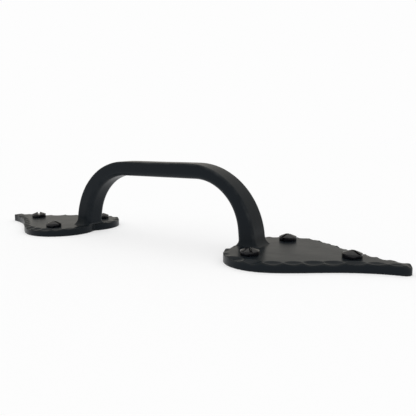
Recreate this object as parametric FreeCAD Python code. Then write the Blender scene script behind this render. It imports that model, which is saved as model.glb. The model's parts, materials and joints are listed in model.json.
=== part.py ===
import FreeCAD, Part
import math
import os

# A heart-plate door pull: a bent flat-bar grip whose ends are tenoned and peened into two
# hammered heart-shaped plates, and six slotted wood screws that hold the plates to a door.
# Millimetres. The door's face is the plane z = 0 and the grip stands out along +Z.
# The pull's length runs along X, and its centre is the origin.

# grip bar
projection = 47.0        # door face to the outside of the grip
leg_centres = 125.3      # between the legs' centres, where they meet the plates
grip_w = 13.6            # across the bar, along Y
grip_t = 8.4             # through the bar at the middle of the grip
foot_t = 7.9             # through a leg where it meets its plate
outer_lean = 3.5         # degrees the legs' outsides lean, from the door's normal
inner_lean = 9.0         # degrees the legs' insides lean
inner_rise = 4.2         # from the plate's front up to the centres of the inner bends
edge_r = 1.2             # worn edges along the bar
foot_r = 3.6             # flare where a leg is drawn down onto its plate
foot_land = 0.4          # height of the flare's rim above the plate

# tenons that fix the grip in the plates
tenon_x = 4.6
tenon_y = 8.0
peen_depth = 1.3         # countersink at the plate's back that the peened end fills
peen_spread = 1.1        # how far the peened end spreads each way

# heart plates, measured outwards from the leg's centre
plate_t = 4.8
plate_w = 67.2
lobe_r = 22.4
notch_inset = 4.4        # from the leg's centre in to where the two lobes meet
notch_r = 2.0            # softened inside corner of the notch
lobe_turn = 13.1         # degrees the lobe's arc runs on past its widest point
tip_length = 80.25       # from the leg's centre out to the tip
tip_r = 3.4
tip_turn = 9.5           # degrees between the flank's end and the plate's centre line
flank_start = 17.5       # pull of the flank's curve as it leaves the lobe
flank_end = 27.0         # pull of the flank's curve as it reaches the tip

# hammer marks along the plates' front edges
right_pitch = 9.3        # between marks on the -Y side of the upper plate
right_first = 7.8        # from the notch to where the marks on that side begin
left_pitch = 7.65
left_first = 2.8
mark_r = 12.0
mark_in = 4.0            # reach over the plate's front
mark_down = 1.1          # reach down the plate's side
end_mark_in = 2.2        # the one mark on the tip's end
end_mark_down = 1.2
foot_gap = 1.0           # plain edge left between the foot and the nearest mark

# screws
head_r = 4.75
head_side = 1.9          # height of the head's round side
crown_h = 1.7
crown_flat_r = 1.0
crown_facets = 8
slot_w = 1.35
slot_depth = 2.15
neck_r = 1.83
crest_r = 2.08
root_r = 1.5
thread_pitch = 1.7
crest_flat = 0.3
thread_slope = 0.5       # axial run of a thread's flank
first_crest = 0.4        # from the door's face down to the first crest
screw_length = 31.75     # under the head
point_length = 5.0
hole_play = 0.32         # radial room for the threads in a plate's hole
tip_screw_inset = 27.0   # from the plate's tip
lobe_screw_inset = 12.6  # from the plate's side
lobe_screw_out = 10.15   # from the leg's centre

leg_x = leg_centres / 2
outer_r = projection - plate_t
inner_r = projection - grip_t - plate_t - inner_rise
lobe_y = plate_w / 2 - lobe_r
lobe_x = leg_x - notch_inset + math.sqrt(lobe_r ** 2 - lobe_y ** 2)
tip_x = leg_x + tip_length
hole_r = crest_r + hole_play

# name, distance out from the pull's centre, sideways place, the slot's turn in degrees
screw_places = [
    ("tip_screw", tip_x - tip_screw_inset, 0.0),
    ("right_lobe_screw", leg_x + lobe_screw_out, lobe_screw_inset - plate_w / 2),
    ("left_lobe_screw", leg_x + lobe_screw_out, plate_w / 2 - lobe_screw_inset),
]
slot_turns = {
    "upper": {"tip_screw": 155.0, "right_lobe_screw": 128.0, "left_lobe_screw": 125.0},
    "lower": {"tip_screw": -36.0, "right_lobe_screw": -62.0, "left_lobe_screw": 12.0},
}


def at(x, y, z=0.0):
    return FreeCAD.Vector(x, y, z)


def turned(shape, degrees):
    shape.rotate(at(0, 0), at(0, 0, 1), degrees)
    return shape


def arc_through(centre, radius, start, end):
    """Arc in the plate's plane from one angle to another, in degrees."""
    points = []
    for degrees in (start, (start + end) / 2, end):
        a = math.radians(degrees)
        points.append(centre + at(radius * math.cos(a), radius * math.sin(a)))
    return Part.Arc(*points).toShape()


def outline_half():
    """The heart's edges on the +Y side, from the notch round to the middle of the tip."""
    lobe = at(lobe_x, lobe_y)
    tip = at(tip_x - tip_r, 0)
    notch_angle = 180.0 + math.degrees(math.asin(lobe_y / lobe_r))
    leave = math.radians(90.0 - lobe_turn)
    arrive = math.radians(90.0 - tip_turn)
    start = lobe + at(lobe_r * math.cos(leave), lobe_r * math.sin(leave))
    end = tip + at(tip_r * math.cos(arrive), tip_r * math.sin(arrive))
    flank = Part.BezierCurve()
    flank.setPoles([
        start,
        start + at(flank_start * math.sin(leave), -flank_start * math.cos(leave)),
        end - at(flank_end * math.sin(arrive), -flank_end * math.cos(arrive)),
        end,
    ])
    return [
        arc_through(lobe, lobe_r, notch_angle, 90.0 - lobe_turn),
        flank.toShape(),
        arc_through(tip, tip_r, 90.0 - tip_turn, 0.0),
    ]


def outline():
    edges = outline_half()
    mirrored = [e.mirror(at(0, 0), at(0, 1, 0)) for e in edges]
    return Part.Wire(Part.__sortEdges__(edges + mirrored))


def heart_blank(height):
    """The heart's outline as a solid from the door's face up, with its notch softened."""
    solid = Part.Face(outline()).extrude(at(0, 0, height))
    notch = leg_x - notch_inset
    corner = [
        e for e in solid.Edges
        if all(abs(v.X - notch) < 0.01 and abs(v.Y) < 0.01 for v in e.Vertexes)
    ]
    return solid.makeFillet(notch_r, corner)


def along_half(distance):
    """A point on the heart's half outline, and the direction in which it runs there."""
    for edge in outline_half():
        if distance <= edge.Length:
            spot = edge.getParameterByLength(distance)
            return edge.valueAt(spot), edge.tangentAt(spot)
        distance -= edge.Length


def hammer_mark(point, out, reach_in, reach_down):
    """A round-bottomed cutter leaning over the edge at one hammer blow."""
    reach = math.hypot(reach_in, reach_down)
    down = (out * reach_in - at(0, 0, reach_down)) * (1 / reach)
    face = (out * reach_down + at(0, 0, reach_in)) * (1 / reach)
    top = at(point.x, point.y, plate_t) - out * reach_in
    base = top + (face - down) * mark_r
    return Part.makeCylinder(mark_r, reach + 2 * mark_r, base, down)


def hammer_marks():
    flank_stop = sum(edge.Length for edge in outline_half()[:2])
    marks = [hammer_mark(at(tip_x, 0), at(1, 0), end_mark_in, end_mark_down)]
    for side, pitch, first in ((-1, right_pitch, right_first), (1, left_pitch, left_first)):
        foot_y = grip_w / 2 + foot_r + pitch / 2 + foot_gap
        distance = first + pitch / 2
        while distance < flank_stop:
            point, along = along_half(distance)
            distance += pitch
            if point.x < leg_x and point.y < foot_y:
                continue
            mark = hammer_mark(point, at(-along.y, along.x), mark_in, mark_down)
            marks.append(mark.mirror(at(0, 0), at(0, 1, 0)) if side < 0 else mark)
    return marks


def rectangle(x, half_x, half_y, z):
    corners = [(-1, -1), (1, -1), (1, 1), (-1, 1), (-1, -1)]
    return Part.makePolygon([at(x + i * half_x, j * half_y, z) for i, j in corners])


def tenon():
    """The grip's end inside its plate: a square shank, spread at the back by peening."""
    half_x = tenon_x / 2
    half_y = tenon_y / 2
    shank = Part.makeLoft(
        [rectangle(leg_x, half_x, half_y, z) for z in (peen_depth, plate_t)], True, True)
    head = Part.makeLoft([
        rectangle(leg_x, half_x + peen_spread, half_y + peen_spread, 0),
        rectangle(leg_x, half_x, half_y, peen_depth),
    ], True, True)
    return shank.fuse(head).removeSplitter()


def heart_plate():
    plate = heart_blank(plate_t)
    for mark in hammer_marks():
        plate = plate.cut(mark)
    holes = [
        Part.makeCylinder(hole_r, plate_t, at(x, y), at(0, 0, 1)) for _, x, y in screw_places
    ]
    return plate.cut(holes + [tenon()])


def grip_half_points(foot_x, top, radius, lean_degrees, z_end):
    """Foot end, bend start, bend middle and bend end of one long side of the bar."""
    lean = math.radians(lean_degrees)
    centre_z = top - radius
    centre_x = foot_x - (radius + (centre_z - plate_t) * math.sin(lean)) / math.cos(lean)
    points = [at(foot_x - (z_end - plate_t) * math.tan(lean), 0, z_end)]
    for share in (0.0, 0.5, 1.0):
        a = lean + share * (math.pi / 2 - lean)
        points.append(at(centre_x + radius * math.cos(a), 0, centre_z + radius * math.sin(a)))
    return points


def bar_line(foot_x, top, radius, lean_degrees, z_end):
    """One long side of the bar, from the +X foot over the grip to the -X foot."""
    right = grip_half_points(foot_x, top, radius, lean_degrees, z_end)
    left = [at(-p.x, 0, p.z) for p in right]
    edges = [
        Part.LineSegment(right[0], right[1]),
        Part.Arc(right[1], right[2], right[3]),
        Part.LineSegment(right[3], left[3]),
        Part.Arc(left[3], left[2], left[1]),
        Part.LineSegment(left[1], left[0]),
    ]
    return [e.toShape() for e in edges], right[0], left[0]


def foot_flare(bar):
    """Draws each leg's end out onto its plate: a fillet to a slab just under the plate's front."""
    slab_top = plate_t - foot_land
    reach = grip_t + 2 * foot_r + grip_w
    flared = bar
    for side in (1, -1):
        slab = Part.makeBox(
            2 * reach, 2 * reach, plate_t, at(side * leg_x - reach, -reach, slab_top - plate_t))
        joined = flared.fuse(slab).removeSplitter()
        rim = [
            e for e in joined.Edges
            if all(abs(v.Z - slab_top) < 1e-4 for v in e.Vertexes)
            and abs(e.CenterOfMass.x - side * leg_x) < grip_t
            and abs(e.CenterOfMass.y) < grip_w * 0.6
        ]
        flared = joined.makeFillet(foot_r, rim)
    room = Part.makeBox(4 * leg_x, 4 * reach, 2 * projection, at(-2 * leg_x, -2 * reach, plate_t))
    return flared.common(room)


def past_the_plate():
    """Room beside the heart's outline at the notch, where a flare must not hang over."""
    reach = 2 * notch_inset + foot_r
    room = Part.makeBox(reach, plate_w, foot_r, at(leg_x - reach, -plate_w / 2, plate_t))
    return room.cut(heart_blank(plate_t + 2 * foot_r))


def grip_bar():
    z_end = plate_t - foot_land - 1.0
    outer, outer_right, outer_left = bar_line(
        leg_x + foot_t / 2, projection, outer_r, outer_lean, z_end)
    inner, inner_right, inner_left = bar_line(
        leg_x - foot_t / 2, projection - grip_t, inner_r, inner_lean, z_end)
    ends = [
        Part.makeLine(outer_right, inner_right),
        Part.makeLine(outer_left, inner_left),
    ]
    side = Part.Face(Part.Wire(Part.__sortEdges__(outer + inner + ends)))
    side.translate(at(0, -grip_w / 2))
    bar = side.extrude(at(0, grip_w))
    long_edges = [
        e for e in bar.Edges
        if all(abs(abs(v.Y) - grip_w / 2) < 1e-6 for v in e.Vertexes)
        and abs(e.CenterOfMass.y) > grip_w / 4
        and e.CenterOfMass.z > plate_t
    ]
    bar = foot_flare(bar.makeFillet(edge_r, long_edges))
    for turn in (0, 180):
        bar = bar.cut(turned(past_the_plate(), turn)).fuse(turned(tenon(), turn))
    return bar.removeSplitter()


def thread_profile():
    """Half the screw's section below the head, from the neck down to the point."""
    seat = plate_t
    tip_z = seat - screw_length
    cone_top = tip_z + point_length
    line = [(0, seat), (neck_r, seat), (neck_r, -first_crest + thread_slope)]
    z = -first_crest
    while z - crest_flat - thread_slope > cone_top:
        line += [(crest_r, z), (crest_r, z - crest_flat)]
        z -= crest_flat + thread_slope
        line.append((root_r, z))
        z -= thread_pitch - crest_flat - 2 * thread_slope
        line.append((root_r, z))
        z -= thread_slope
    if line[-1][1] > cone_top:
        line.append((root_r, cone_top))
    line += [(0, tip_z), (0, seat)]
    return [at(r, 0, z) for r, z in line]


def faceted_crown():
    """The hammered top of the head: a blunt facetted cone cut round by the head's side."""
    rings = []
    for radius, z in ((head_r, plate_t + head_side), (crown_flat_r, plate_t + head_side + crown_h)):
        corner_r = radius / math.cos(math.pi / crown_facets)
        ring = []
        for i in range(crown_facets + 1):
            a = 2 * math.pi * i / crown_facets
            ring.append(at(corner_r * math.cos(a), corner_r * math.sin(a), z))
        rings.append(Part.makePolygon(ring))
    return Part.makeLoft(rings, True, True)


def screw():
    """One slotted wood screw on its own axis. Its thread stands as closed rings."""
    shank = Part.Face(Part.makePolygon(thread_profile())).revolve(at(0, 0), at(0, 0, 1), 360)
    side = Part.makeCylinder(head_r, head_side, at(0, 0, plate_t))
    room = Part.makeCylinder(head_r, head_side + crown_h, at(0, 0, plate_t))
    head = side.fuse(faceted_crown().common(room))
    slot = Part.makeBox(
        2 * head_r, slot_w, slot_depth,
        at(-head_r, -slot_w / 2, plate_t + head_side + crown_h - slot_depth))
    return head.cut(slot).fuse(shank).removeSplitter()


def placed_screw(x, y, slot_turn):
    body = turned(screw(), slot_turn)
    body.translate(at(x, y))
    return body


def save(name, shape):
    solid = shape.Solids[0] if len(shape.Solids) == 1 else shape
    solid.exportStep(os.path.join("parts", name + ".step"))
    print(name, len(shape.Solids), "solid", shape.isValid(), round(shape.Volume, 1))


os.makedirs("parts", exist_ok=True)
save("grip_bar", grip_bar())
for end, turn in (("upper", 0), ("lower", 180)):
    save(end + "_heart_plate", turned(heart_plate(), turn))
    for name, x, y in screw_places:
        body = placed_screw(x, y, slot_turns[end][name] - turn)
        save(end + "_" + name, turned(body, turn))
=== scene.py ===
import json
import math

import bpy
from mathutils import Matrix, Vector


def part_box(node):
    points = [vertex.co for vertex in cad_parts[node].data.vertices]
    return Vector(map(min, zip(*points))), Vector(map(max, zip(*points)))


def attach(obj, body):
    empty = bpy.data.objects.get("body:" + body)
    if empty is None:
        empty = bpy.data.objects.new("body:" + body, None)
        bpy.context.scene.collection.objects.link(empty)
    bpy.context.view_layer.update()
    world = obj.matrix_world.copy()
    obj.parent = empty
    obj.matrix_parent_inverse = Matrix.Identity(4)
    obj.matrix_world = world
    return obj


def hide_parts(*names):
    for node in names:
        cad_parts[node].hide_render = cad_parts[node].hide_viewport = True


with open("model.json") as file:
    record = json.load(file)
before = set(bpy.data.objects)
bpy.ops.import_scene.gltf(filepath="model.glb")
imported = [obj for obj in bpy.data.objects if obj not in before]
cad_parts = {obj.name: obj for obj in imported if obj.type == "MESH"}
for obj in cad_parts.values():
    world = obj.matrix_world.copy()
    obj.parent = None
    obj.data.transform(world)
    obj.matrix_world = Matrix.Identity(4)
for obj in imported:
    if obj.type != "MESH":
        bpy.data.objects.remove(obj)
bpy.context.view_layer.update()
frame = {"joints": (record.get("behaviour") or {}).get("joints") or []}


# The two heart plates: 3/16 in iron plate cut to a heart, its front edge beaten down by a row of
# hammer blows, drilled for three screws and cut through for the grip's tenon. The two are the
# same forging, turned half round, and the blows never fall quite alike.
mm = 0.001
tip_x, side_y, plate_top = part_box("upper_heart_plate")[1]
screw_places = {joint["child"]: joint["pos_m"] for joint in frame["joints"]}
leg_x = 62.65 * mm               # the leg's centre, where it meets its plate
lobe_r = 22.4 * mm
notch_inset = 4.4 * mm           # from the leg's centre in to where the lobes meet
notch_r = 2.0 * mm
lobe_turn = math.radians(13.1)   # the lobe's arc runs on past its widest point
tip_r = 3.4 * mm
tip_turn = math.radians(9.5)     # between the flank's end and the plate's centre line
flank_pulls = (17.5 * mm, 27.0 * mm)   # pull of the flank's curve at the lobe and at the tip
blow_r = 6.5 * mm                # the hammer's crowned face, across the edge
blow_long_r = 8.8 * mm           # and along it
blow_in = 4.0 * mm               # how far a blow reaches over the plate's front
blow_down = 1.1 * mm             # and down its side
tip_blow = (2.0 * mm, 1.5 * mm)  # the same two reaches for the one blow on the tip's end
near_blows = (7.8 * mm, 9.3 * mm)   # first blow and pitch on the side with the longer pitch
far_blows = (2.8 * mm, 7.65 * mm)
most_blows = 30                  # to a side; those past the tip are dropped
blow_stray = 0.9 * mm            # how far a blow falls out of its place along the edge
blow_lift = (-0.25 * mm, 0.2 * mm)   # and how much deeper or shallower it lands
light_at_lobe = (28 * mm, 40 * mm, 0.55 * mm)   # blows up to here are lighter, fading out by here
light_at_tip = (12 * mm, 30 * mm, 0.5 * mm)     # the same, measured back from the tip
bare_foot = 11.0 * mm            # no blows nearer the leg's centre line than this
hole_r = 2.4 * mm
tenon = (4.6 * mm, 8.0 * mm)
peen_deep = 1.3 * mm             # countersink that the peened end fills
peen_spread = 1.1 * mm
past_back = 1.0 * mm             # how far the cutter for it stands out behind the plate
weld = 0.001 * mm                # points nearer than this are one point
line_weld = 0.01 * mm


def add_node(tree, kind, inputs=(), **settings):
    """Adds a node with its settings and links. Inputs are given by name or in order. Each takes a
    value, an output, a node for its first output, or a list of these for several links."""
    node = tree.nodes.new(kind)
    for name, value in settings.items():
        setattr(node, name, value)
    for name, value in inputs.items() if isinstance(inputs, dict) else enumerate(inputs):
        for item in value if isinstance(value, list) else [value]:
            if isinstance(item, bpy.types.Node):
                item = item.outputs[0]
            if isinstance(item, bpy.types.NodeSocket):
                tree.links.new(item, node.inputs[name])
            else:
                node.inputs[name].default_value = item
    return node


def size_tree(name, sizes):
    """A geometry tree with a named input for each size, and the socket that it ends in."""
    tree = bpy.data.node_groups.new(name, "GeometryNodeTree")
    tree.interface.new_socket("Geometry", in_out="INPUT", socket_type="NodeSocketGeometry")
    tree.interface.new_socket("Geometry", in_out="OUTPUT", socket_type="NodeSocketGeometry")
    kinds = {int: "Int", float: "Float", Vector: "Vector", bpy.types.Material: "Material"}
    for label, value in sizes.items():
        tree.interface.new_socket(
            label, in_out="INPUT", socket_type="NodeSocket" + kinds[type(value)])
    inputs = add_node(tree, "NodeGroupInput").outputs
    return tree, inputs, add_node(tree, "NodeGroupOutput").inputs[0]


def end_tree(tree, shape, material, end):
    whole = add_node(tree, "GeometryNodeRealizeInstances", {"Geometry": shape})
    dressed = add_node(tree, "GeometryNodeSetMaterial", {"Geometry": whole, "Material": material})
    tree.links.new(dressed.outputs[0], end)


def put_tree(piece, tree, sizes):
    """Sets a tree on a piece as a modifier, with its sizes."""
    modifier = piece.modifiers.new(tree.name, "NODES")
    modifier.node_group = tree
    for item in tree.interface.items_tree:
        if item.in_out == "INPUT" and item.name in sizes:
            modifier[item.identifier] = sizes[item.name]


def new_piece(name):
    piece = bpy.data.objects.new(name, bpy.data.meshes.new(name))
    bpy.context.scene.collection.objects.link(piece)
    return piece


def bake(piece):
    """Turns a piece's modifiers into one plain smooth mesh."""
    shaped = piece.evaluated_get(bpy.context.evaluated_depsgraph_get())
    mesh = bpy.data.meshes.new_from_object(shaped)
    piece.modifiers.clear()
    piece.data = mesh
    mesh.polygons.foreach_set("use_smooth", [True] * len(mesh.polygons))


def point_on(centre, radius, angle):
    return centre + radius * Vector((math.cos(angle), math.sin(angle), 0.0))


def heart_sizes():
    """The heart's outline on its +Y side: notch, lobe, flank and tip, each tangent to the next."""
    lobe_y = side_y - lobe_r
    lobe = Vector((leg_x - notch_inset + math.sqrt(lobe_r ** 2 - lobe_y ** 2), lobe_y, 0.0))
    opening = math.asin(lobe_y / (lobe_r + notch_r))
    notch = Vector((lobe.x - (lobe_r + notch_r) * math.cos(opening), 0.0, 0.0))
    tip = Vector((tip_x - tip_r, 0.0, 0.0))
    leave, arrive = math.pi / 2 - lobe_turn, math.pi / 2 - tip_turn
    start, end = point_on(lobe, lobe_r, leave), point_on(tip, tip_r, arrive)
    return {
        "Notch centre": notch, "Notch radius": notch_r, "Notch sweep": opening,
        "Lobe centre": lobe, "Lobe radius": lobe_r, "Lobe start": math.pi + opening,
        "Lobe sweep": leave - math.pi - opening,
        "Flank start": start,
        "Flank start pull": point_on(start, flank_pulls[0], leave - math.pi / 2),
        "Flank end pull": point_on(end, flank_pulls[1], arrive + math.pi / 2),
        "Flank end": end,
        "Tip centre": tip, "Tip radius": tip_r, "Tip start": arrive, "Tip sweep": -arrive,
    }


def heart_half(tree, size):
    """The half outline as one line from the notch to the tip."""
    runs = []
    for part, steps in (("Notch", 8), ("Lobe", 96), ("Tip", 16)):
        start = 0.0 if part == "Notch" else size[part + " start"]
        arc = add_node(tree, "GeometryNodeCurveArc", {
            "Resolution": steps, "Radius": size[part + " radius"], "Start Angle": start,
            "Sweep Angle": size[part + " sweep"]}, mode="RADIUS")
        runs.append(add_node(tree, "GeometryNodeTransform", {
            "Geometry": arc, "Translation": size[part + " centre"]}))
    flank = add_node(tree, "GeometryNodeCurvePrimitiveBezierSegment", {
        "Resolution": 64, "Start": size["Flank start"], "Start Handle": size["Flank start pull"],
        "End Handle": size["Flank end pull"], "End": size["Flank end"]}, mode="POSITION")
    return one_line(tree, runs[:2] + [flank] + runs[2:])


def one_line(tree, runs):
    """Joins runs that meet end to end. The node takes the last link first."""
    joined = add_node(tree, "GeometryNodeJoinGeometry", {"Geometry": runs[::-1]})
    wire = add_node(tree, "GeometryNodeCurveToMesh", {"Curve": joined})
    welded = add_node(tree, "GeometryNodeMergeByDistance", {
        "Geometry": wire, "Distance": line_weld})
    return add_node(tree, "GeometryNodeMeshToCurve", {"Mesh": welded})


def slab(tree, outline, thickness):
    """A closed flat blank from an outline."""
    base = add_node(tree, "GeometryNodeFillCurve", {"Curve": outline}, mode="NGONS")
    raised = add_node(tree, "GeometryNodeExtrudeMesh", {
        "Mesh": base, "Offset Scale": 1.0,
        "Offset": add_node(tree, "ShaderNodeCombineXYZ", [0.0, 0.0, thickness]),
        "Individual": False})
    under = add_node(tree, "GeometryNodeFlipFaces", {"Mesh": base})
    both = add_node(tree, "GeometryNodeJoinGeometry", {"Geometry": [raised.outputs["Mesh"], under]})
    return add_node(tree, "GeometryNodeMergeByDistance", {"Geometry": both, "Distance": weld})


def hammer_face(tree, reach_in, reach_down):
    """A hammer's crowned face sunk over the plate's edge, where X points out of the plate."""
    half_reach = math.hypot(reach_in, reach_down) / 2
    middle = Vector((-reach_in, 0.0, -reach_down)) / 2
    square_off = Vector((reach_down, 0.0, reach_in)).normalized()
    lift = square_off * math.sqrt(blow_r ** 2 - half_reach ** 2)
    ball = add_node(tree, "GeometryNodeMeshUVSphere", {"Segments": 64, "Rings": 40, "Radius": 1.0})
    return add_node(tree, "GeometryNodeTransform", {
        "Geometry": ball.outputs["Mesh"], "Translation": middle + lift,
        "Scale": (blow_r, blow_long_r, blow_r)})


def side_blows(tree, size, half, side):
    """Hammer faces along one side of the heart, each a little out of place."""
    name = "Near" if side < 0 else "Far"
    line = add_node(tree, "GeometryNodeTransform", {
        "Geometry": half, "Scale": (1.0, float(side), 1.0)})
    count = add_node(tree, "GeometryNodePoints", {"Count": most_blows})
    index = add_node(tree, "GeometryNodeInputIndex")
    stray = add_node(tree, "FunctionNodeRandomValue", {
        2: -blow_stray, 3: blow_stray, "ID": index, "Seed": size["Seed"]}).outputs[1]
    step = add_node(tree, "ShaderNodeMath", [
        add_node(tree, "ShaderNodeMath", [index, 0.5], operation="ADD"),
        size[name + " pitch"]], operation="MULTIPLY")
    along = add_node(tree, "ShaderNodeMath", [
        add_node(tree, "ShaderNodeMath", [step, size[name + " first"]], operation="ADD"),
        stray], operation="ADD")
    spot = add_node(tree, "GeometryNodeSampleCurve", {
        "Curves": line, "Length": along}, mode="LENGTH")
    lift = add_node(tree, "FunctionNodeRandomValue", {
        2: blow_lift[0], 3: blow_lift[1], "ID": index,
        "Seed": add_node(tree, "ShaderNodeMath", [size["Seed"], 7.0], operation="ADD")})
    x, y, _ = add_node(tree, "ShaderNodeSeparateXYZ", [spot.outputs["Position"]]).outputs

    run = add_node(tree, "GeometryNodeCurveLength", {"Curve": line})
    tip_arc = add_node(tree, "ShaderNodeMath", [
        add_node(tree, "ShaderNodeMath", [size["Tip sweep"]], operation="ABSOLUTE"),
        size["Tip radius"]], operation="MULTIPLY")
    end = add_node(tree, "ShaderNodeMath", [run, tip_arc], operation="SUBTRACT")
    to_tip = add_node(tree, "ShaderNodeMath", [end, along], operation="SUBTRACT")
    lighter = [add_node(tree, "ShaderNodeMapRange", {
        "Value": distance, "From Min": full, "From Max": gone, "To Min": amount, "To Max": 0.0})
        for distance, (full, gone, amount) in ((along, light_at_lobe), (to_tip, light_at_tip))]
    height = add_node(tree, "ShaderNodeMath", [
        lift.outputs[1],
        add_node(tree, "ShaderNodeMath", lighter, operation="ADD")], operation="ADD")
    z = add_node(tree, "ShaderNodeMath", [size["Thickness"], height], operation="ADD")
    placed = add_node(tree, "GeometryNodeSetPosition", {
        "Geometry": count,
        "Position": add_node(tree, "ShaderNodeCombineXYZ", [x, y, z])})
    past_end = add_node(tree, "ShaderNodeMath", [along, end], operation="GREATER_THAN")
    near_foot = add_node(tree, "ShaderNodeMath", [
        add_node(tree, "ShaderNodeMath", [x, size["Leg centre"]], operation="LESS_THAN"),
        add_node(tree, "ShaderNodeMath", [
            add_node(tree, "ShaderNodeMath", [y], operation="ABSOLUTE"),
            size["Bare foot"]], operation="LESS_THAN")], operation="MULTIPLY")
    kept = add_node(tree, "GeometryNodeDeleteGeometry", {
        "Geometry": placed,
        "Selection": add_node(tree, "ShaderNodeMath", [past_end, near_foot], operation="MAXIMUM")},
        domain="POINT")

    ahead_x, ahead_y, _ = add_node(tree, "ShaderNodeSeparateXYZ", [
        spot.outputs["Tangent"]]).outputs
    out = add_node(tree, "ShaderNodeCombineXYZ", [
        add_node(tree, "ShaderNodeMath", [ahead_y, -float(side)], operation="MULTIPLY"),
        add_node(tree, "ShaderNodeMath", [ahead_x, float(side)], operation="MULTIPLY")])
    facing = add_node(tree, "FunctionNodeAxesToRotation", {
        "Primary Axis": (0.0, 0.0, 1.0), "Secondary Axis": out},
        primary_axis="Z", secondary_axis="X")
    return add_node(tree, "GeometryNodeInstanceOnPoints", {
        "Points": kept, "Instance": hammer_face(tree, blow_in, blow_down), "Rotation": facing})


def peg(tree, sizes, deep, spread, foot):
    """A square peg standing from one level up, widened all round at its bottom."""
    block = add_node(tree, "GeometryNodeMeshCube", {"Size": (sizes[0], sizes[1], deep)})
    x, y, z = add_node(tree, "ShaderNodeSeparateXYZ", [
        add_node(tree, "GeometryNodeInputPosition")]).outputs
    wider = add_node(tree, "ShaderNodeCombineXYZ", [
        add_node(tree, "ShaderNodeMath", [
            add_node(tree, "ShaderNodeMath", [x], operation="SIGN"),
            spread], operation="MULTIPLY"),
        add_node(tree, "ShaderNodeMath", [
            add_node(tree, "ShaderNodeMath", [y], operation="SIGN"),
            spread], operation="MULTIPLY")])
    shaped = add_node(tree, "GeometryNodeSetPosition", {
        "Geometry": block.outputs["Mesh"],
        "Selection": add_node(tree, "ShaderNodeMath", [z, 0.0], operation="LESS_THAN"),
        "Offset": wider})
    return add_node(tree, "GeometryNodeTransform", {
        "Geometry": shaped, "Translation": (leg_x, 0.0, foot + deep / 2)})


def heart_plate_tree(sizes):
    tree, size, end = size_tree("hammered_heart_plate", sizes)
    half = heart_half(tree, size)
    other_half = add_node(tree, "GeometryNodeTransform", {
        "Geometry": half, "Scale": (1.0, -1.0, 1.0)})
    blank = slab(tree, one_line(tree, [half, other_half]), size["Thickness"])
    tip_end = add_node(tree, "ShaderNodeMath", [
        add_node(tree, "ShaderNodeSeparateXYZ", [size["Tip centre"]]),
        size["Tip radius"]], operation="ADD")
    tip_face = add_node(tree, "GeometryNodeTransform", {
        "Geometry": hammer_face(tree, *tip_blow),
        "Translation": add_node(tree, "ShaderNodeCombineXYZ", [tip_end, 0.0, size["Thickness"]])})
    drill = add_node(tree, "GeometryNodeMeshCylinder", {
        "Vertices": 64, "Radius": size["Hole radius"], "Depth": 4 * plate_top}).outputs["Mesh"]
    holes = [add_node(tree, "GeometryNodeTransform", {
        "Geometry": drill, "Translation": size[name]})
        for name in ("Tip screw", "Near screw", "Far screw")]
    mortise = [peg(tree, tenon, 3 * plate_top, 0.0, -plate_top),
               peg(tree, tenon, peen_deep + past_back, peen_spread, -past_back)]
    blows = [side_blows(tree, size, half, side) for side in (-1, 1)] + [tip_face]
    cut = add_node(tree, "GeometryNodeMeshBoolean", {
        "Mesh 1": blank, "Mesh 2": blows + holes + mortise},
        operation="DIFFERENCE", solver="MANIFOLD")
    end_tree(tree, cut, size["Coat"], end)
    return tree


proud_blur_rounds = 12                 # rounds of blurring that show where the surface stands proud
lighter_edge_proud = (0.05 * mm, 0.2 * mm)   # the edge starts to be painted lighter here, as worn coat and painted highlight, and is fully lighter here


def linear(hex_colour):
    """An sRGB hex colour as the linear values that a shader takes."""
    shares = [int(hex_colour[i:i + 2], 16) / 255 for i in (1, 3, 5)]
    red, green, blue = [s / 12.92 if s <= 0.04045 else ((s + 0.055) / 1.055) ** 2.4 for s in shares]
    return red, green, blue, 1.0


def new_material(name):
    material = bpy.data.materials.new(name)
    material.use_nodes = True
    material.node_tree.nodes.clear()
    return material, material.node_tree


def hammered_skin_tree(sizes):
    """Sinks a surface a little by rolling hammer marks and by fine scale under the coat, and
    stores how proud each point stands of its surroundings, which is where hands rub it and
    where the coat is painted lighter as a highlight."""
    tree, size, end = size_tree("hammered_skin", sizes)
    place = add_node(tree, "GeometryNodeInputPosition")
    normal = add_node(tree, "GeometryNodeInputNormal")
    sunk = []
    for name in ("Roll", "Scale"):
        noise = add_node(tree, "ShaderNodeTexNoise", {
            "Vector": place, "W": size["Seed"], "Detail": 1.0,
            "Scale": add_node(tree, "ShaderNodeMath", [
                1.0, size[name + " size"]], operation="DIVIDE")}, noise_dimensions="4D")
        sunk.append(add_node(tree, "ShaderNodeMath", [
            noise, size[name + " depth"]], operation="MULTIPLY"))
    height = add_node(tree, "ShaderNodeSeparateXYZ", [place]).outputs[2]
    worked = add_node(tree, "ShaderNodeMapRange", {
        "Value": height,
        "From Min": add_node(tree, "ShaderNodeMath", [
            size["Flat below"], 0.5], operation="MULTIPLY"),
        "From Max": size["Flat below"]})
    depth = add_node(tree, "ShaderNodeMath", [
        add_node(tree, "ShaderNodeMath", sunk, operation="ADD"),
        worked], operation="MULTIPLY")
    inward = add_node(tree, "ShaderNodeVectorMath", {
        0: normal,
        "Scale": add_node(tree, "ShaderNodeMath", [depth, -1.0], operation="MULTIPLY")},
        operation="SCALE")
    worn = add_node(tree, "GeometryNodeSetPosition", {
        "Geometry": size["Geometry"], "Offset": inward})
    blurred = add_node(tree, "GeometryNodeBlurAttribute", {
        "Value": place, "Iterations": proud_blur_rounds}, data_type="FLOAT_VECTOR")
    away = add_node(tree, "ShaderNodeVectorMath", [place, blurred], operation="SUBTRACT")
    proud = add_node(tree, "ShaderNodeVectorMath", [away, normal], operation="DOT_PRODUCT")
    kept = add_node(tree, "GeometryNodeStoreNamedAttribute", {
        "Geometry": worn, "Name": "proud", "Value": proud.outputs["Value"]})
    end_tree(tree, kept, size["Coat"], end)
    return tree


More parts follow.
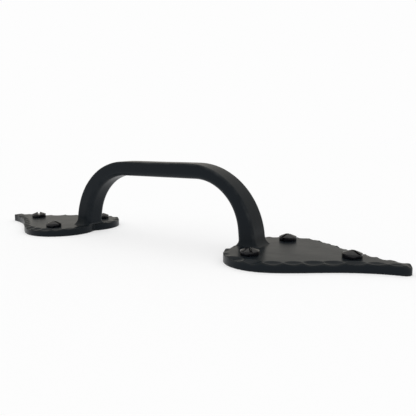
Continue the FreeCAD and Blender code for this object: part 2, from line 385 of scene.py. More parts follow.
def work_surface(piece, voxel, rounds, skin):
    """Softens a piece's edges as filing and coating do, and gives it its hammered skin."""
    remesh = piece.modifiers.new("even_mesh", "REMESH")
    remesh.mode = "VOXEL"
    remesh.voxel_size = voxel
    soften = piece.modifiers.new("soft_edges", "SMOOTH")
    soften.factor = 0.5
    soften.iterations = rounds
    put_tree(piece, skin_tree, skin_sizes | skin)


patch = 14 * mm                  # across a duller or shinier patch of the finish
speckle = 5 * mm                 # across a spot where the lighter edge, worn coat and painted highlight, comes and goes
peel_grain = 0.7 * mm            # across one dimple of the orange peel
spot_edge = (0.3, 0.7)           # a spot's noise, from where the edge stays unlightened to where it is fully lighter
patch_change = 0.06              # in roughness
rub_polish = 0.1


def black_with_worn_and_highlit_edges(name, base, worn_and_highlight_base, rough, specular, peel):
    """A thin black finish on worked iron: an even dull black with a fine orange peel, a little
    duller or shinier from patch to patch, and smoother on the proud edges, which are painted
    brighter: partly worn coat, partly a painted highlight."""
    finish, tree = new_material(name)
    place = add_node(tree, "ShaderNodeTexCoord").outputs["Object"]
    patches, speckles = [add_node(tree, "ShaderNodeTexNoise", {
        "Vector": place, "Scale": 1 / across, "Detail": 3.0})
        for across in (patch, speckle)]
    convex = add_node(tree, "ShaderNodeMapRange", {
        "Value": add_node(tree, "ShaderNodeAttribute", attribute_name="proud").outputs["Fac"],
        "From Min": lighter_edge_proud[0], "From Max": lighter_edge_proud[1]})
    worn_and_highlit_edge = add_node(tree, "ShaderNodeMath", [
        convex,
        add_node(tree, "ShaderNodeMapRange", {
            "Value": speckles, "From Min": spot_edge[0], "From Max": spot_edge[1]})],
        operation="MULTIPLY")
    # The proud edges are painted lighter: partly the coat worn through, partly a painted highlight
    # that stands in for light along the creases.
    colour = add_node(tree, "ShaderNodeMix", {
        "Factor": worn_and_highlit_edge, 6: linear(base), 7: linear(worn_and_highlight_base)}, data_type="RGBA")
    dull = add_node(tree, "ShaderNodeMapRange", {
        "Value": patches, "To Min": rough - patch_change, "To Max": rough + patch_change})
    sheen = add_node(tree, "ShaderNodeMath", [worn_and_highlit_edge, -rub_polish, dull], operation="MULTIPLY_ADD")
    grain = add_node(tree, "ShaderNodeTexNoise", {
        "Vector": place, "Scale": 1 / peel_grain, "Detail": 2.0, "Roughness": 0.6})
    bump = add_node(tree, "ShaderNodeBump", {"Height": grain, "Distance": peel, "Strength": 1.0})
    face = add_node(tree, "ShaderNodeBsdfPrincipled", {
        "Base Color": colour.outputs[2], "Roughness": sheen, "Normal": bump,
        "Specular IOR Level": specular})
    add_node(tree, "ShaderNodeOutputMaterial", {"Surface": face})
    return finish


# Satin powder coat baked on hammered plate: soft black, its beaten edges painted a shade lighter,
# partly as worn coat and partly as a painted highlight.
plate_coat = black_with_worn_and_highlit_edges(
    "satin_black_powder_coat_on_hammered_plate", "#13191E", "#2A2C2D", 0.3, 0.1, 0.008 * mm)
skin_sizes = {
    "Roll size": 9.0 * mm, "Roll depth": 0.12 * mm,
    "Scale size": 2.0 * mm, "Scale depth": 0.03 * mm,
    "Flat below": 0.8 * mm, "Seed": 1, "Coat": plate_coat}
skin_tree = hammered_skin_tree(skin_sizes)
plate_sizes = heart_sizes() | {
    "Thickness": plate_top, "Leg centre": leg_x, "Bare foot": bare_foot, "Hole radius": hole_r,
    "Near first": near_blows[0], "Near pitch": near_blows[1],
    "Far first": far_blows[0], "Far pitch": far_blows[1], "Seed": 1, "Coat": plate_coat,
    "Tip screw": Vector(screw_places["upper_tip_screw"]),
    "Near screw": Vector(screw_places["upper_right_lobe_screw"]),
    "Far screw": Vector(screw_places["upper_left_lobe_screw"])}
plate_tree = heart_plate_tree(plate_sizes)
plate_grid = 0.38 * mm           # the even mesh that the edges are softened on
plate_rounds = 3                 # and how many rounds of softening they take
for end_name, seed, half_turn in (("upper", 1, 0.0), ("lower", 5, math.pi)):
    plate = new_piece(end_name + "_hammered_plate")
    put_tree(plate, plate_tree, plate_sizes | {"Seed": seed})
    work_surface(plate, plate_grid, plate_rounds, {"Seed": seed})
    bake(plate)
    plate.data.transform(Matrix.Rotation(half_turn, 4, "Z"))
    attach(plate, "pull")
    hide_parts(end_name + "_heart_plate")


# The grip: a 1/2 by 5/16 in iron bar bent at both ends, its corners rubbed round, each leg drawn
# out into a flare on its plate. Its ends pass through the plates as square tenons and are
# peened over flush at the back, which is all that holds grip and plates together.
grip_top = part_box("grip_bar")[1][2]
grip_half_width = 6.8 * mm
grip_thick = 8.8 * mm
outer_foot = 4.45 * mm           # from a leg's centre line to its outer face, at the plate
inner_foot = 5.9 * mm            # and to its inner face
outer_lean = math.radians(3.5)
inner_lean = math.radians(4.5)
lower_leg_extra = 0.1 * mm       # the lower leg was left heavier on its hand side,
lower_lean_extra = math.radians(6.5)
lower_bend_extra = 3.5 * mm      # and its inner bend rounder
inner_rise = 5.6 * mm            # from the plate's front up to the inner bends' centres
outer_corner = 1.2 * mm          # the hand meets the inner corners, which are rubbed rounder
inner_corner = 3.0 * mm
flare = 4.4 * mm
flare_land = 0.4 * mm            # height of the flare's thin rim
inner_flare = 3.4 * mm
bar_end = plate_top - 0.3 * mm   # the bar sits a little into its plate's worn front
notch_room = 12 * mm             # up to here the leg's inside keeps out over the plate's notch,
notch_slope = 0.8                # by this much less for each length that it rises
tenon_up = 2.0 * mm              # how far a tenon runs up into the bar


def split(tree, number, run):
    """The full runs of one length that a number holds, and how far it is into the next."""
    share = add_node(tree, "ShaderNodeMath", [
        add_node(tree, "ShaderNodeMath", [number, 0.5], operation="ADD"),
        float(run)], operation="DIVIDE")
    full = add_node(tree, "ShaderNodeMath", [share], operation="FLOOR")
    return (full, add_node(tree, "ShaderNodeMath", [
        number, add_node(tree, "ShaderNodeMath", [full, float(run)], operation="MULTIPLY")],
        operation="SUBTRACT"))


def bar_line(tree, size, side):
    """One long side of the bar: four corners, the upper two rounded into bends."""
    outer = side == "Outer"
    foot = add_node(tree, "ShaderNodeMath", [
        size["Leg centre"], size[side + " foot"]], operation="ADD" if outer else "SUBTRACT")
    top = size["Top"]
    line = add_node(tree, "GeometryNodeMeshLine", {"Count": 4})
    index = add_node(tree, "GeometryNodeInputIndex")
    right = add_node(tree, "ShaderNodeMath", [index, 1.5], operation="GREATER_THAN")
    left = add_node(tree, "ShaderNodeMath", [1.0, right], operation="SUBTRACT")
    slope = size[side + " lean"]
    bend = size[side + " bend"]
    if not outer:
        top = add_node(tree, "ShaderNodeMath", [top, size["Thickness"]], operation="SUBTRACT")
        foot = add_node(tree, "ShaderNodeMath", [
            foot,
            add_node(tree, "ShaderNodeMath", [
                size["Lower leg extra"], left], operation="MULTIPLY")], operation="SUBTRACT")
        slope = add_node(tree, "ShaderNodeMath", [
            size["Lower lean extra"], left, slope], operation="MULTIPLY_ADD")
        bend = add_node(tree, "ShaderNodeMath", [
            size["Lower bend extra"], left, bend], operation="MULTIPLY_ADD")
    lean = add_node(tree, "ShaderNodeMath", [slope], operation="TANGENT")
    corners = []
    for level in (size["Bar end"], top):
        rise = add_node(tree, "ShaderNodeMath", [level, size["Plate top"]], operation="SUBTRACT")
        x = add_node(tree, "ShaderNodeMath", [
            foot,
            add_node(tree, "ShaderNodeMath", [rise, lean], operation="MULTIPLY")],
            operation="SUBTRACT")
        corners.append((x, level))
    from_middle = add_node(tree, "ShaderNodeMath", [
        add_node(tree, "ShaderNodeMath", [index, 1.5], operation="SUBTRACT")],
        operation="ABSOLUTE")
    high = add_node(tree, "ShaderNodeMath", [from_middle, 1.0], operation="LESS_THAN")
    x, z = [add_node(tree, "ShaderNodeMapRange", {
        "Value": high, "To Min": low_value, "To Max": high_value})
        for low_value, high_value in zip(*corners)]
    side_x = add_node(tree, "ShaderNodeMath", [
        x,
        add_node(tree, "ShaderNodeMath", [right, 2.0, -1.0], operation="MULTIPLY_ADD")],
        operation="MULTIPLY")
    bent = add_node(tree, "GeometryNodeSetPosition", {
        "Geometry": line,
        "Position": add_node(tree, "ShaderNodeCombineXYZ", [side_x, 0.0, z])})
    wire = add_node(tree, "GeometryNodeMeshToCurve", {"Mesh": bent})
    return add_node(tree, "GeometryNodeFilletCurve", {
        "Curve": wire, "Count": 64, "Radius": bend, "Limit Radius": True}, mode="POLY")


def grip_tree_of(sizes, rows, corner_steps):
    """The bar as a skin of rows: each row is a rounded rectangle between the bar's two lines, and
    the first and last rows are drawn in to a point, which closes the ends."""
    tree, size, end = size_tree("bent_grip_bar", sizes)
    columns = 4 * corner_steps + 1
    skin = add_node(tree, "GeometryNodeMeshGrid", {"Vertices X": rows, "Vertices Y": columns})
    index = add_node(tree, "GeometryNodeInputIndex")
    row, column = split(tree, index, columns)
    share = add_node(tree, "ShaderNodeMapRange", {
        "Value": row, "From Min": 1.0, "From Max": float(rows - 2)})
    sides = [add_node(tree, "GeometryNodeSampleCurve", {
        "Curves": bar_line(tree, size, side), "Factor": share}, mode="FACTOR").outputs["Position"]
        for side in ("Outer", "Inner")]
    both = add_node(tree, "ShaderNodeVectorMath", sides, operation="ADD")
    middle = add_node(tree, "ShaderNodeVectorMath", {0: both, "Scale": 0.5}, operation="SCALE")
    across = add_node(tree, "ShaderNodeVectorMath", sides, operation="SUBTRACT")
    thick, outwards = [add_node(tree, "ShaderNodeVectorMath", [
        across], operation=operation).outputs[output]
        for operation, output in (("LENGTH", "Value"), ("NORMALIZE", "Vector"))]

    # Each corner is a quarter turn, taken in equal steps.
    quarter, step = split(tree, column, corner_steps)
    turns = add_node(tree, "ShaderNodeMath", [
        quarter,
        add_node(tree, "ShaderNodeMath", [step, float(corner_steps - 1)], operation="DIVIDE")],
        operation="ADD")
    angle = add_node(tree, "ShaderNodeMath", [turns, math.pi / 2], operation="MULTIPLY")
    middle_angle = add_node(tree, "ShaderNodeMath", [
        add_node(tree, "ShaderNodeMath", [quarter, 0.5], operation="ADD"),
        math.pi / 2], operation="MULTIPLY")
    sign_across = add_node(tree, "ShaderNodeMath", [
        add_node(tree, "ShaderNodeMath", [middle_angle], operation="COSINE")], operation="SIGN")
    sign_out = add_node(tree, "ShaderNodeMath", [
        add_node(tree, "ShaderNodeMath", [middle_angle], operation="SINE")], operation="SIGN")

    rim = add_node(tree, "ShaderNodeMath", [
        size["Plate top"], size["Flare land"]], operation="SUBTRACT")
    height = add_node(tree, "ShaderNodeMath", [
        add_node(tree, "ShaderNodeSeparateXYZ", [middle]).outputs[2],
        rim], operation="SUBTRACT")

    def flare_out(radius):
        """How far a fillet of this radius stands out at this height over the plate."""
        above_rim = add_node(tree, "ShaderNodeMath", [height, 0.0], operation="MAXIMUM")
        up = add_node(tree, "ShaderNodeMath", [
            add_node(tree, "ShaderNodeMath", [radius, above_rim], operation="SUBTRACT"),
            0.0], operation="MAXIMUM")
        squares = [add_node(tree, "ShaderNodeMath", [side, 2.0], operation="POWER")
            for side in (radius, up)]
        return add_node(tree, "ShaderNodeMath", [
            radius,
            add_node(tree, "ShaderNodeMath", [
                add_node(tree, "ShaderNodeMath", squares, operation="SUBTRACT")],
                operation="SQRT")], operation="SUBTRACT")

    spread = add_node(tree, "ShaderNodeMapRange", {
        "Value": add_node(tree, "ShaderNodeMath", [angle], operation="SINE"),
        "From Min": -1.0, "From Max": 0.0, "To Min": flare_out(size["Inner flare"]),
        "To Max": flare_out(size["Flare"])})
    corner = add_node(tree, "ShaderNodeMapRange", {
        "Value": sign_out, "From Min": -1.0, "From Max": 1.0, "To Min": size["Inner corner"],
        "To Max": size["Outer corner"]})
    round_r = add_node(tree, "ShaderNodeMath", [corner, spread], operation="ADD")
    wave_side = add_node(tree, "ShaderNodeMath", [angle], operation="COSINE")
    wave_out = add_node(tree, "ShaderNodeMath", [angle], operation="SINE")
    half_thick = add_node(tree, "ShaderNodeMath", [thick, 0.5], operation="MULTIPLY")

    def reach(wave, sign, half):
        """How far a point of the rounded rectangle stands out from the row's middle."""
        straight = add_node(tree, "ShaderNodeMath", [
            sign,
            add_node(tree, "ShaderNodeMath", [half, corner], operation="SUBTRACT")],
            operation="MULTIPLY")
        return add_node(tree, "ShaderNodeMath", [
            add_node(tree, "ShaderNodeMath", [wave, round_r], operation="MULTIPLY"),
            straight], operation="ADD")

    reach_out = reach(wave_out, sign_out, half_thick)
    reach_side = reach(wave_side, sign_across, size["Half width"])
    inside = add_node(tree, "ShaderNodeMath", [
        add_node(tree, "ShaderNodeMath", [row, 0.5], operation="GREATER_THAN"),
        add_node(tree, "ShaderNodeMath", [row, rows - 1.5], operation="LESS_THAN")],
        operation="MULTIPLY")
    lift = add_node(tree, "ShaderNodeVectorMath", {
        0: outwards,
        "Scale": add_node(tree, "ShaderNodeMath", [reach_out, inside], operation="MULTIPLY")},
        operation="SCALE")
    lifted = add_node(tree, "ShaderNodeVectorMath", [middle, lift], operation="ADD")
    place = add_node(tree, "ShaderNodeVectorMath", [
        lifted,
        add_node(tree, "ShaderNodeCombineXYZ", [
            0.0,
            add_node(tree, "ShaderNodeMath", [reach_side, inside], operation="MULTIPLY")])],
        operation="ADD")

    # Low down, no point comes nearer the pull's middle than its plate's own edge.
    x, y, z = add_node(tree, "ShaderNodeSeparateXYZ", [place]).outputs
    lobe = add_node(tree, "ShaderNodeSeparateXYZ", [size["Lobe centre"]]).outputs
    from_lobe = add_node(tree, "ShaderNodeMath", [
        lobe[1],
        add_node(tree, "ShaderNodeMath", [y], operation="ABSOLUTE")], operation="SUBTRACT")
    edge_run = add_node(tree, "ShaderNodeMath", [
        add_node(tree, "ShaderNodeMath", [
            add_node(tree, "ShaderNodeMath", [size["Lobe radius"], 2.0], operation="POWER"),
            add_node(tree, "ShaderNodeMath", [from_lobe, 2.0], operation="POWER")],
            operation="SUBTRACT")], operation="SQRT")
    edge_x = add_node(tree, "ShaderNodeMath", [
        add_node(tree, "ShaderNodeMath", [lobe[0], edge_run], operation="SUBTRACT"),
        0.0], operation="MAXIMUM")
    above = add_node(tree, "ShaderNodeMath", [
        add_node(tree, "ShaderNodeMath", [z, size["Plate top"]], operation="SUBTRACT"),
        0.0], operation="MAXIMUM")
    nearest_x = add_node(tree, "ShaderNodeMath", [
        add_node(tree, "ShaderNodeMath", [above, -notch_slope, edge_x], operation="MULTIPLY_ADD"),
        add_node(tree, "ShaderNodeMath", [above, notch_room], operation="LESS_THAN")],
        operation="MULTIPLY")
    kept_x = add_node(tree, "ShaderNodeMath", [
        add_node(tree, "ShaderNodeMath", [x], operation="SIGN"),
        add_node(tree, "ShaderNodeMath", [
            add_node(tree, "ShaderNodeMath", [x], operation="ABSOLUTE"),
            nearest_x], operation="MAXIMUM")], operation="MULTIPLY")
    swept = add_node(tree, "GeometryNodeSetPosition", {
        "Geometry": skin.outputs["Mesh"],
        "Position": add_node(tree, "ShaderNodeCombineXYZ", [kept_x, y, z])})
    closed = add_node(tree, "GeometryNodeMergeByDistance", {"Geometry": swept, "Distance": weld})
    tenons = []
    for turn in (0.0, math.pi):
        for peg_part in (peg(tree, tenon, plate_top + tenon_up, 0.0, 0.0),
                         peg(tree, tenon, peen_deep, peen_spread, 0.0)):
            tenons.append(add_node(tree, "GeometryNodeTransform", {
                "Geometry": peg_part, "Rotation": (0.0, 0.0, turn)}))
    whole = add_node(tree, "GeometryNodeMeshBoolean", {
        "Mesh 2": [closed] + tenons}, operation="UNION", solver="MANIFOLD")
    end_tree(tree, whole, size["Coat"], end)
    return tree


# The same coat on the bar, which the hand rubs most: its edges are painted the lightest of the
# pull, partly as worn coat and partly as a painted highlight along the creases.
grip_coat = black_with_worn_and_highlit_edges(
    "satin_black_powder_coat_on_forged_bar", "#13191E", "#323537", 0.3, 0.1, 0.008 * mm)
grip_sizes = {
    "Leg centre": leg_x, "Outer foot": outer_foot, "Inner foot": inner_foot,
    "Top": grip_top, "Thickness": grip_thick, "Half width": grip_half_width,
    "Outer lean": outer_lean, "Inner lean": inner_lean,
    "Lower leg extra": lower_leg_extra, "Lower lean extra": lower_lean_extra,
    "Lower bend extra": lower_bend_extra, "Outer bend": grip_top - plate_top,
    "Inner bend": grip_top - grip_thick - plate_top - inner_rise,
    "Outer corner": outer_corner, "Inner corner": inner_corner,
    "Flare": flare, "Inner flare": inner_flare, "Flare land": flare_land,
    "Plate top": plate_top, "Bar end": bar_end, "Lobe centre": plate_sizes["Lobe centre"],
    "Lobe radius": lobe_r, "Coat": grip_coat}
bar_rows = 460
corner_steps = 6
grip_tree = grip_tree_of(grip_sizes, bar_rows, corner_steps)
grip = new_piece("forged_grip_bar")
put_tree(grip, grip_tree, grip_sizes)
grip_grid = 0.42 * mm
grip_rounds = 5
work_surface(grip, grip_grid, grip_rounds, {
    "Roll size": 14.0 * mm, "Roll depth": 0.15 * mm, "Seed": 9, "Coat": grip_coat})
bake(grip)
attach(grip, "pull")
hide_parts("grip_bar")


# The six screws: No. 8 slotted wood screws, 1-1/4 in long, their heads hammered to eight rough
# facets and blackened in hot oil. Each stands in its plate's hole and turns in the door's wood
# on its own thread, and each slot stopped where the driver left it.
head_r = 4.75 * mm
head_side = 2.0 * mm             # height of the head's round side
crown_high = 1.35 * mm
crown_flat = 1.3 * mm            # radius of the flat that the facets leave
facet_stray = 0.22 * mm          # how far a facet's corner strays up or down
slot_wide = 1.35 * mm
slot_deep = 1.6 * mm
screw_long = 31.7 * mm           # under the head
neck_r = 1.83 * mm
neck_run_in = 0.2 * mm           # the neck runs this far up into the head
neck_narrows = 0.6 * mm          # and narrows to the core over this length
crest_r = 2.08 * mm
root_r = 1.5 * mm
thread_pitch = 1.7 * mm
thread_foot = 0.6 * mm           # half the ridge's thickness where it leaves the core
thread_edge = 0.15 * mm          # and half of it at the crest
thread_sunk = 0.9                # its foot is sunk to this share of the core's radius
bare_turn = 0.3                  # of a turn, left without thread at the very point
first_crest = 0.4 * mm           # below the door's face
point_long = 5.0 * mm
point_blunt = 0.06               # the point's end, as a share of the core's radius
slot_turns = {                   # degrees, where the driver left each slot
    "upper_tip_screw": 155.0, "upper_right_lobe_screw": 128.0, "upper_left_lobe_screw": 72.0,
    "lower_tip_screw": -36.0, "lower_right_lobe_screw": -62.0, "lower_left_lobe_screw": 12.0,
}


def faceted_head(tree, size):
    """A round head cut by eight facets round a small flat, and slotted for the driver."""
    tall = add_node(tree, "ShaderNodeMath", [size["Side"], size["Crown"]], operation="ADD")
    round_bar = add_node(tree, "GeometryNodeMeshCylinder", {
        "Vertices": 64, "Radius": size["Head radius"], "Depth": tall}).outputs["Mesh"]
    half_up = add_node(tree, "ShaderNodeMath", [tall, 0.5, size["Seat"]], operation="MULTIPLY_ADD")
    lifted = add_node(tree, "GeometryNodeTransform", {
        "Geometry": round_bar,
        "Translation": add_node(tree, "ShaderNodeCombineXYZ", [0.0, 0.0, half_up])})
    facets = add_node(tree, "GeometryNodeMeshCylinder", {
        "Vertices": size["Facets"], "Side Segments": 2, "Radius": 1.0,
        "Depth": 2.0}).outputs["Mesh"]
    x, y, z = add_node(tree, "ShaderNodeSeparateXYZ", [
        add_node(tree, "GeometryNodeInputPosition")]).outputs
    top_ring = add_node(tree, "ShaderNodeMath", [z, 0.5], operation="GREATER_THAN")
    low_ring = add_node(tree, "ShaderNodeMath", [z, -0.5], operation="LESS_THAN")
    half_facet = add_node(tree, "ShaderNodeMath", [math.pi, size["Facets"]], operation="DIVIDE")
    corner = add_node(tree, "ShaderNodeMath", [
        1.0,
        add_node(tree, "ShaderNodeMath", [half_facet], operation="COSINE")], operation="DIVIDE")
    width = add_node(tree, "ShaderNodeMapRange", {
        "Value": top_ring, "To Min": size["Head radius"], "To Max": size["Crown flat"]})
    radius = add_node(tree, "ShaderNodeMath", [width, corner], operation="MULTIPLY")
    index = add_node(tree, "GeometryNodeInputIndex")
    uneven = add_node(tree, "FunctionNodeRandomValue", {
        2: -facet_stray, 3: facet_stray, "ID": index, "Seed": size["Seed"]}).outputs[1]
    level = add_node(tree, "ShaderNodeMath", [size["Seat"], size["Side"]], operation="ADD")
    level = add_node(tree, "ShaderNodeMath", [
        level,
        add_node(tree, "ShaderNodeMath", [top_ring, size["Crown"]], operation="MULTIPLY")],
        operation="ADD")
    level = add_node(tree, "ShaderNodeMath", [
        level,
        add_node(tree, "ShaderNodeMath", [low_ring, tall], operation="MULTIPLY")],
        operation="SUBTRACT")
    shift = add_node(tree, "ShaderNodeMath", [
        add_node(tree, "ShaderNodeMath", [1.0, low_ring], operation="SUBTRACT"),
        uneven], operation="MULTIPLY")
    sunk = add_node(tree, "ShaderNodeMath", [
        add_node(tree, "ShaderNodeMath", [shift], operation="ABSOLUTE"),
        add_node(tree, "ShaderNodeMath", [1.0, top_ring], operation="SUBTRACT")],
        operation="MULTIPLY")
    hewn = add_node(tree, "GeometryNodeSetPosition", {
        "Geometry": facets,
        "Position": add_node(tree, "ShaderNodeCombineXYZ", [
            add_node(tree, "ShaderNodeMath", [x, radius], operation="MULTIPLY"),
            add_node(tree, "ShaderNodeMath", [y, radius], operation="MULTIPLY"),
            add_node(tree, "ShaderNodeMath", [level, sunk], operation="SUBTRACT")])})
    blank = add_node(tree, "GeometryNodeMeshBoolean", {
        "Mesh 2": [lifted, hewn]}, operation="INTERSECT", solver="MANIFOLD")
    blade_long = add_node(tree, "ShaderNodeMath", [size["Head radius"], 3.0], operation="MULTIPLY")
    blade_high = add_node(tree, "ShaderNodeMath", [size["Slot depth"], 2.0], operation="MULTIPLY")
    blade = add_node(tree, "GeometryNodeMeshCube", {
        "Size": add_node(tree, "ShaderNodeCombineXYZ", [
            blade_long, size["Slot width"], blade_high])}).outputs["Mesh"]
    head_top = add_node(tree, "ShaderNodeMath", [size["Seat"], tall], operation="ADD")
    slot = add_node(tree, "GeometryNodeTransform", {
        "Geometry": blade,
        "Translation": add_node(tree, "ShaderNodeCombineXYZ", [0.0, 0.0, head_top])})
    return add_node(tree, "GeometryNodeMeshBoolean", {
        "Mesh 1": blank, "Mesh 2": slot}, operation="DIFFERENCE", solver="MANIFOLD")


def turned_shank(tree, size):
    """Neck, core and gimlet point in one turned piece."""
    rows = 5
    body = add_node(tree, "GeometryNodeMeshCylinder", {
        "Vertices": 32, "Side Segments": rows - 1, "Radius": 1.0,
        "Depth": float(rows - 1)}).outputs["Mesh"]
    x, y, z = add_node(tree, "ShaderNodeSeparateXYZ", [
        add_node(tree, "GeometryNodeInputPosition")]).outputs
    row = add_node(tree, "ShaderNodeMath", [
        add_node(tree, "ShaderNodeMath", [z, (rows - 1) / 2], operation="ADD")], operation="ROUND")
    end = add_node(tree, "ShaderNodeMath", [size["Seat"], size["Length"]], operation="SUBTRACT")
    shoulder = add_node(tree, "ShaderNodeMath", [size["First crest"], -1.0], operation="MULTIPLY")
    cone_top = add_node(tree, "ShaderNodeMath", [end, size["Point"]], operation="ADD")
    core_top = add_node(tree, "ShaderNodeMath", [shoulder, neck_narrows], operation="SUBTRACT")
    neck_top = add_node(tree, "ShaderNodeMath", [size["Seat"], neck_run_in], operation="ADD")
    level = end
    for number, target in enumerate((cone_top, core_top, shoulder, neck_top), 1):
        here = add_node(tree, "ShaderNodeMath", [row, float(number), 0.1], operation="COMPARE")
        elsewhere = add_node(tree, "ShaderNodeMath", [1.0, here], operation="SUBTRACT")
        level = add_node(tree, "ShaderNodeMath", [
            add_node(tree, "ShaderNodeMath", [level, elsewhere], operation="MULTIPLY"),
            add_node(tree, "ShaderNodeMath", [target, here], operation="MULTIPLY")],
            operation="ADD")
    thick = add_node(tree, "ShaderNodeMapRange", {
        "Value": row, "From Min": 2.0, "From Max": 3.0, "To Min": size["Root radius"],
        "To Max": size["Neck radius"]})
    share = add_node(tree, "ShaderNodeMath", [
        add_node(tree, "ShaderNodeMath", [row, 1.0], operation="MINIMUM"),
        point_blunt], operation="MAXIMUM")
    radius = add_node(tree, "ShaderNodeMath", [thick, share], operation="MULTIPLY")
    return add_node(tree, "GeometryNodeSetPosition", {
        "Geometry": body,
        "Position": add_node(tree, "ShaderNodeCombineXYZ", [
            add_node(tree, "ShaderNodeMath", [x, radius], operation="MULTIPLY"),
            add_node(tree, "ShaderNodeMath", [y, radius], operation="MULTIPLY"),
            level])})


def wound_thread(tree, size, turns, steps=20):
    """The thread: a sharp ridge wound down the core, running out at the neck and the point. A row
    of the ridge has five points: two at the crest, two at its foot, and the first one again."""
    rows = int(turns * steps) + 1
    columns = 5
    ridge = add_node(tree, "GeometryNodeMeshGrid", {"Vertices X": rows, "Vertices Y": columns})
    index = add_node(tree, "GeometryNodeInputIndex")
    row, column = split(tree, index, columns)
    angle = add_node(tree, "ShaderNodeMath", [row, 2 * math.pi / steps], operation="MULTIPLY")
    drop = add_node(tree, "ShaderNodeMath", [
        add_node(tree, "ShaderNodeMath", [row, float(steps)], operation="DIVIDE"),
        size["Pitch"]], operation="MULTIPLY")
    centre = add_node(tree, "ShaderNodeMath", [
        add_node(tree, "ShaderNodeMath", [size["First crest"], -1.0], operation="MULTIPLY"),
        drop], operation="SUBTRACT")
    end = add_node(tree, "ShaderNodeMath", [size["Seat"], size["Length"]], operation="SUBTRACT")
    cone_top = add_node(tree, "ShaderNodeMath", [end, size["Point"]], operation="ADD")
    taper, start, stop = [add_node(tree, "ShaderNodeMapRange", {
        "Value": value, "From Min": none, "From Max": full})
        for value, none, full in (
            (centre, end, cone_top), (row, 0.0, float(steps)),
            (row, float(rows - 1), float(rows - 1 - steps / 2)))]

    core = add_node(tree, "ShaderNodeMath", [
        size["Root radius"],
        add_node(tree, "ShaderNodeMath", [taper, point_blunt], operation="MAXIMUM")],
        operation="MULTIPLY")
    ridge_share = add_node(tree, "ShaderNodeMath", [
        add_node(tree, "ShaderNodeMath", [start, stop], operation="MULTIPLY"),
        add_node(tree, "ShaderNodeMath", [taper, 0.5, 0.5], operation="MULTIPLY_ADD")],
        operation="MULTIPLY")
    proud = add_node(tree, "ShaderNodeMath", [
        add_node(tree, "ShaderNodeMath", [
            size["Crest radius"], size["Root radius"]], operation="SUBTRACT"),
        ridge_share], operation="MULTIPLY")
    on_crest = add_node(tree, "ShaderNodeMath", [column, 1.5, 0.6], operation="COMPARE")
    radius = add_node(tree, "ShaderNodeMath", [
        add_node(tree, "ShaderNodeMath", [core, thread_sunk], operation="MULTIPLY"),
        add_node(tree, "ShaderNodeMath", [
            on_crest,
            add_node(tree, "ShaderNodeMath", [
                core, 1 - thread_sunk, proud], operation="MULTIPLY_ADD")], operation="MULTIPLY")],
        operation="ADD")
    half = add_node(tree, "ShaderNodeMath", [
        on_crest, thread_edge - thread_foot, thread_foot], operation="MULTIPLY_ADD")
    upper = add_node(tree, "ShaderNodeMath", [
        add_node(tree, "ShaderNodeMath", [column, 1.5], operation="LESS_THAN"),
        add_node(tree, "ShaderNodeMath", [column, 3.5], operation="GREATER_THAN")],
        operation="MAXIMUM")
    offset = add_node(tree, "ShaderNodeMath", [
        half,
        add_node(tree, "ShaderNodeMath", [upper, 2.0, -1.0], operation="MULTIPLY_ADD")],
        operation="MULTIPLY")
    wound = add_node(tree, "GeometryNodeSetPosition", {
        "Geometry": ridge.outputs["Mesh"],
        "Position": add_node(tree, "ShaderNodeCombineXYZ", [
            add_node(tree, "ShaderNodeMath", [
                add_node(tree, "ShaderNodeMath", [angle], operation="COSINE"),
                radius], operation="MULTIPLY"),
            add_node(tree, "ShaderNodeMath", [
                add_node(tree, "ShaderNodeMath", [angle], operation="SINE"),
                radius], operation="MULTIPLY"),
            add_node(tree, "ShaderNodeMath", [centre, offset], operation="ADD")])})
    return add_node(tree, "GeometryNodeMergeByDistance", {"Geometry": wound, "Distance": weld})


def screw_tree_of(sizes):
    tree, size, end = size_tree("slotted_wood_screw", sizes)
    threaded = sizes["Length"] - sizes["Seat"] - sizes["First crest"]
    turns = threaded / sizes["Pitch"] - bare_turn
    parts = [faceted_head(tree, size), turned_shank(tree, size), wound_thread(tree, size, turns)]
    whole = add_node(tree, "GeometryNodeJoinGeometry", {"Geometry": parts})
    placed = add_node(tree, "GeometryNodeTransform", {
        "Geometry": whole, "Translation": size["Place"],
        "Rotation": add_node(tree, "ShaderNodeCombineXYZ", [0.0, 0.0, size["Slot turn"]])})
    end_tree(tree, placed, size["Finish"], end)
    return tree


# Steel blackened in hot oil: the blackest metal of the pull, and the glossiest. The heads
# # are driven once and never handled, so nothing on them is rubbed, and they get no lighter edges,
# neither worn nor painted highlight.
screw_steel = black_with_worn_and_highlit_edges(
    "oil_blackened_screw_steel", "#090A10", "#24262A", 0.22, 0.32, 0.006 * mm)
screw_sizes = {
    "Head radius": head_r, "Side": head_side, "Crown": crown_high, "Crown flat": crown_flat,
    "Facets": 8, "Slot width": slot_wide, "Slot depth": slot_deep, "Neck radius": neck_r,
    "Crest radius": crest_r, "Root radius": root_r, "Pitch": thread_pitch,
    "First crest": first_crest, "Point": point_long, "Length": screw_long, "Seat": plate_top,
    "Place": Vector((0.0, 0.0, 0.0)), "Slot turn": 0.0, "Seed": 1, "Finish": screw_steel}
screw_tree = screw_tree_of(screw_sizes)
for seed, (body, slot_turn) in enumerate(slot_turns.items()):
    axis = screw_places[body]
    screw = new_piece(body + "_slotted")
    put_tree(screw, screw_tree, screw_sizes | {
        "Place": Vector((axis[0], axis[1], 0.0)), "Slot turn": math.radians(slot_turn),
        "Seed": seed})
    worn = screw.modifiers.new("worn_corners", "BEVEL")
    worn.width = 0.12 * mm
    worn.segments = 2
    worn.limit_method = "ANGLE"
    worn.angle_limit = math.radians(25)
    bake(screw)
    screw.data.set_sharp_from_angle(angle=math.radians(28))
    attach(screw, body)
    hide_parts(body)


# The room: a white sheet under the pull and a white room round it, soft daylight from overhead,
# and the camera that looks along the pull from its near end, a little above the sheet.
sheet_half = 12.0                # metres, so that its edge is never in sight
sheet_level = -0.02 * mm         # just under the plates' backs

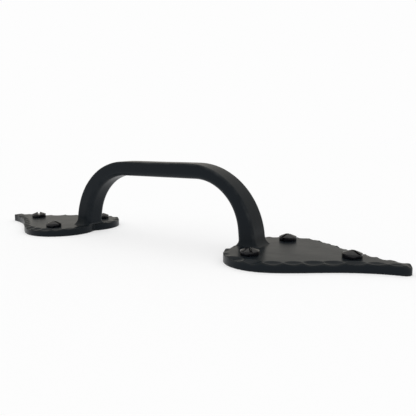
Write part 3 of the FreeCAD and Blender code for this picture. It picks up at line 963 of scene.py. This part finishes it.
# Matt white card. It gives half of its own white to the eye, which keeps it white, and still
# takes the pull's soft shadow. Seen from below it is clear, so the pull's back can be looked at.
card, card_tree = new_material("white_card")
rays = add_node(card_tree, "ShaderNodeLightPath").outputs
seen = add_node(card_tree, "ShaderNodeMath", [
    rays["Is Camera Ray"], rays["Is Glossy Ray"]], operation="MAXIMUM")
seen = add_node(card_tree, "ShaderNodeMath", [
    seen, rays["Is Transmission Ray"]], operation="MAXIMUM")
card_face = add_node(card_tree, "ShaderNodeBsdfDiffuse", {"Color": linear("#FCFCFC")})
card_glow = add_node(card_tree, "ShaderNodeEmission", {"Color": linear("#FDFDFD"), "Strength": 1.0})
card_mix = add_node(card_tree, "ShaderNodeMixShader", [
    add_node(card_tree, "ShaderNodeMath", [seen, 0.5], operation="MULTIPLY"),
    card_face, card_glow])
from_below = add_node(card_tree, "ShaderNodeNewGeometry").outputs["Backfacing"]
clear = add_node(card_tree, "ShaderNodeBsdfTransparent")
one_sided = add_node(card_tree, "ShaderNodeMixShader", [from_below, card_mix, clear])
add_node(card_tree, "ShaderNodeOutputMaterial", {"Surface": one_sided})
sheet = new_piece("white_sheet")
sheet.data.from_pydata([
    (-sheet_half, -sheet_half, sheet_level), (sheet_half, -sheet_half, sheet_level),
    (sheet_half, sheet_half, sheet_level), (-sheet_half, sheet_half, sheet_level)],
    [], [(0, 1, 2, 3)])
sheet.data.materials.append(card)

world = bpy.data.worlds.new("white_room")
world.use_nodes = True
bpy.context.scene.world = world
air = world.node_tree
air.nodes.clear()
rays = add_node(air, "ShaderNodeLightPath").outputs
seen = add_node(air, "ShaderNodeMath", [
    rays["Is Camera Ray"], rays["Is Transmission Ray"]], operation="MAXIMUM")
light = add_node(air, "ShaderNodeBackground", {"Color": linear("#FFFFFF"), "Strength": 0.9})
mirrored = add_node(air, "ShaderNodeBackground", {"Color": linear("#FFFBF2"), "Strength": 0.62})
backdrop = add_node(air, "ShaderNodeBackground", {"Color": linear("#FDFDFD"), "Strength": 1.0})
glossy = add_node(air, "ShaderNodeMixShader", [rays["Is Glossy Ray"], light, mirrored])
walls = add_node(air, "ShaderNodeMixShader", [seen, glossy, backdrop])
add_node(air, "ShaderNodeOutputWorld", {"Surface": walls})

daylight = bpy.data.lights.new("overhead_daylight", "SUN")
daylight.energy = 0.35
daylight.angle = math.radians(60)
daylight_holder = bpy.data.objects.new("overhead_daylight", daylight)
bpy.context.scene.collection.objects.link(daylight_holder)
daylight_holder.rotation_euler = (math.radians(-12), math.radians(-8), 0.0)

camera_place = (0.190588, -0.226826, 0.059716)
camera_yaw = math.radians(-34.624)
camera_pitch = math.radians(7.4055)
camera_roll = math.radians(-0.308)
forward = Vector((
    math.sin(camera_yaw) * math.cos(camera_pitch),
    math.cos(camera_yaw) * math.cos(camera_pitch),
    -math.sin(camera_pitch)))
level_line = Vector((math.cos(camera_yaw), -math.sin(camera_yaw), 0))
upright = level_line.cross(forward)
across = level_line * math.cos(camera_roll) + upright * math.sin(camera_roll)
upwards = upright * math.cos(camera_roll) - level_line * math.sin(camera_roll)
lens = bpy.data.cameras.new("camera")
lens.sensor_width = 36.0
lens.lens = 43.257
lens.shift_y = -0.00784
lens.clip_start = 0.01
camera = bpy.data.objects.new("camera", lens)
bpy.context.scene.collection.objects.link(camera)
facing = Matrix((across, upwards, -forward)).transposed().to_4x4()
camera.matrix_world = Matrix.Translation(camera_place) @ facing
bpy.context.scene.camera = camera
bpy.context.scene.view_settings.view_transform = "Standard"
